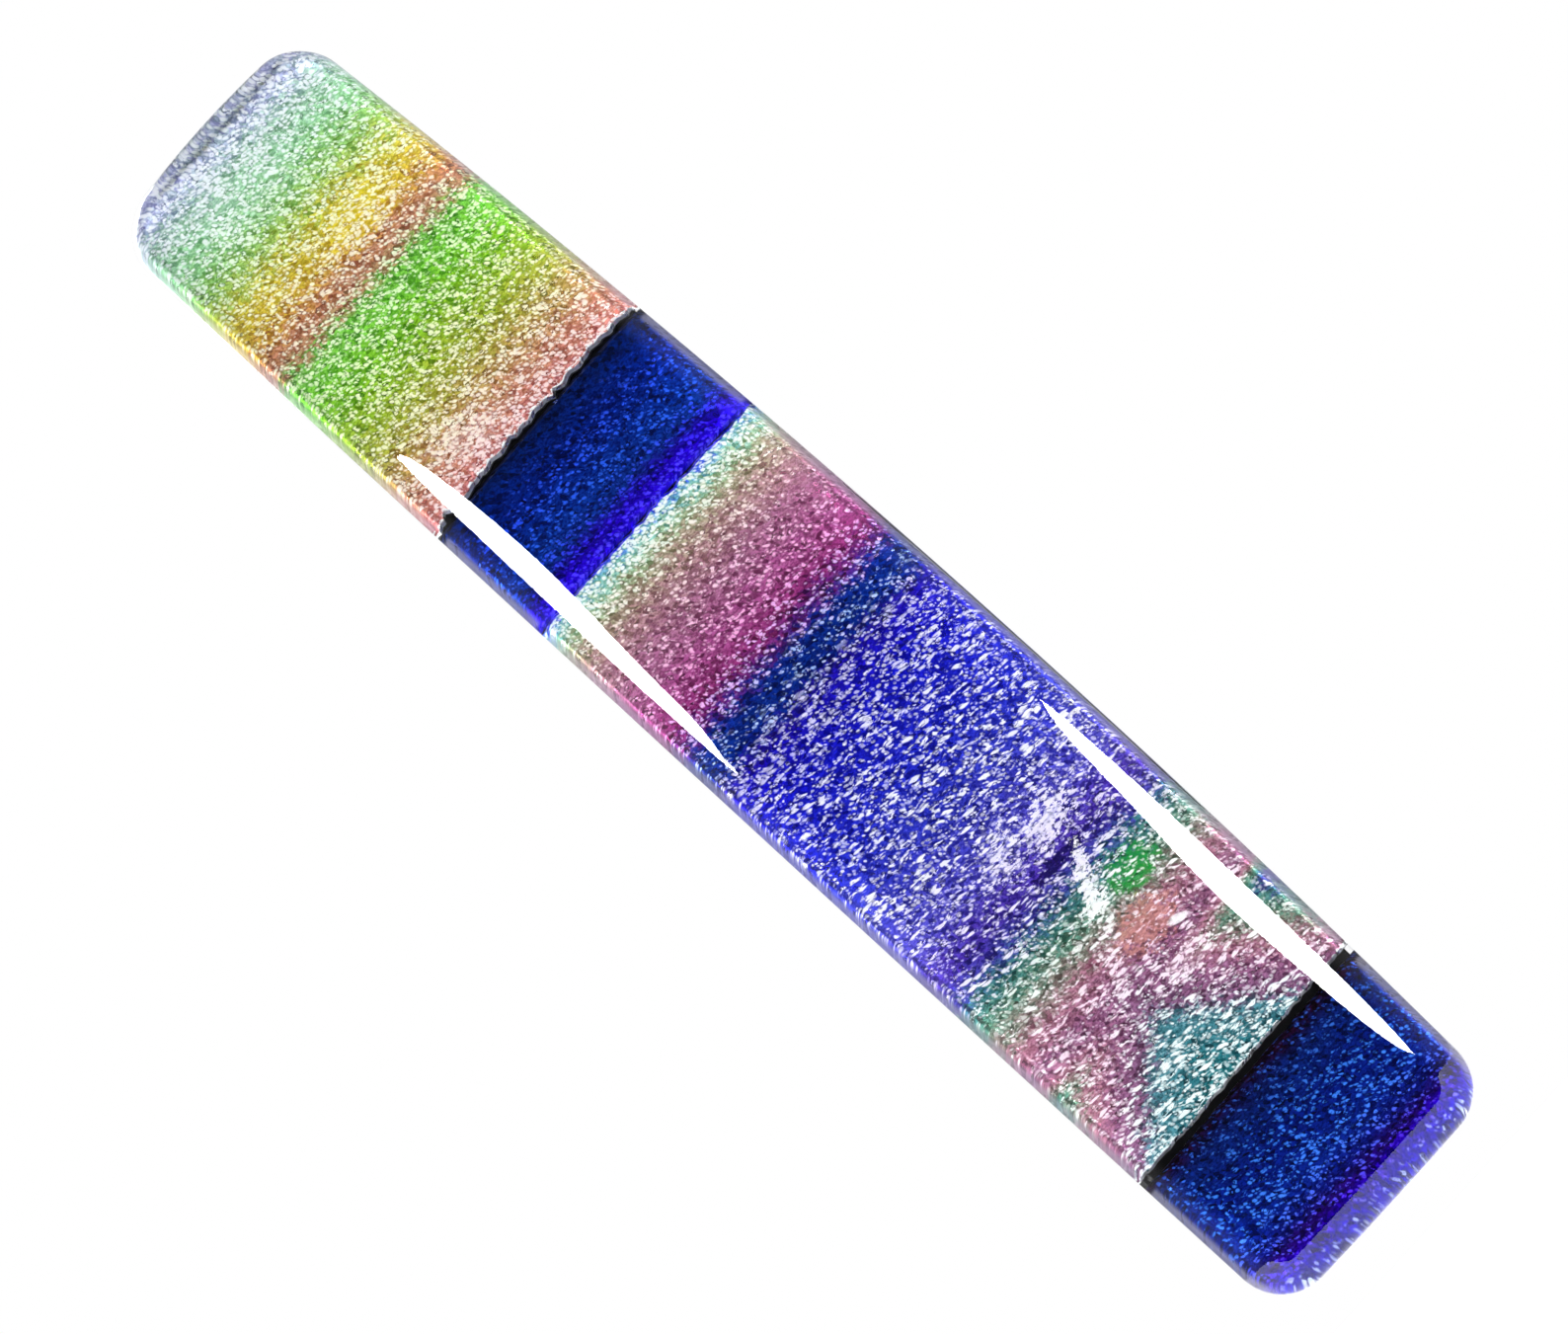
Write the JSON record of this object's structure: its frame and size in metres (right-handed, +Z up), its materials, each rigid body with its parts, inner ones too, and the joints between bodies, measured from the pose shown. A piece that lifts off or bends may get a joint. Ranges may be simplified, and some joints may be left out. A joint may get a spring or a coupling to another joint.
{
  "type": "mezuzah case",
  "caption": "Slim fused dichroic glass bar on an aluminium scroll channel that slides onto a steel doorpost plate, with push-fit end caps.",
  "frame": {"origin": "on the doorpost plane, midway between the axes of the back plate's two screw holes", "axes": "+Z up along the bar, towards the green and gold end; the glass front faces -Y, the doorpost is the plane Y = 0, and +X is to the right for someone facing the case"},
  "size_m": [0.0252, 0.0205, 0.127],
  "materials": {
    "clear_glass": "fire-polished clear glass",
    "gold_coat": "dichroic mirror coating, green to gold to rose",
    "navy_coat": "dichroic mirror coating, dark blue",
    "violet_coat": "dichroic mirror coating, violet, magenta and teal",
    "black_glass": "opaque black sheet glass",
    "foam_tape": "closed-cell acrylic foam tape, matt",
    "channel_aluminium": "natural anodised extrusion, fine lines along its length",
    "cap_plastic": "fine spark-eroded moulding grain",
    "clear_film": "clear polyester film",
    "parchment": "smooth scraped parchment, blank",
    "plate_steel": "brushed along its length"
  },
  "bodies": {
    "wall_plate": {"back_plate": "plate_steel"},
    "case": {"clear_cap_glass": "clear_glass", "dichroic_strip_1_gold": "gold_coat", "dichroic_strip_2_navy": "navy_coat", "dichroic_strip_3_violet": "violet_coat", "dichroic_strip_4_navy": "navy_coat", "black_base_glass": "black_glass", "bond_strip_left": "foam_tape", "bond_strip_right": "foam_tape", "scroll_channel": "channel_aluminium", "end_cap_bottom": "cap_plastic"},
    "top_cap": {"end_cap_top": "cap_plastic"},
    "scroll": {"scroll_sleeve": "clear_film", "scroll_parchment": "parchment"}
  },
  "joints": [
    {"name": "case_slide", "type": "slide", "parent": "wall_plate", "child": "case", "axis": [0, 0, 1], "range_m": [0, 0.113]},
    {"name": "top_cap_pull", "type": "slide", "parent": "case", "child": "top_cap", "axis": [0, 0, 1], "range_m": [0, 0.108]},
    {"name": "scroll_slide", "type": "slide", "parent": "case", "child": "scroll", "axis": [0, 0, 1], "range_m": [0, 0.108]}
  ],
  "couplings": [
    {"joint": "scroll_slide", "follows": "top_cap_pull", "ratio": 1}
  ]
}
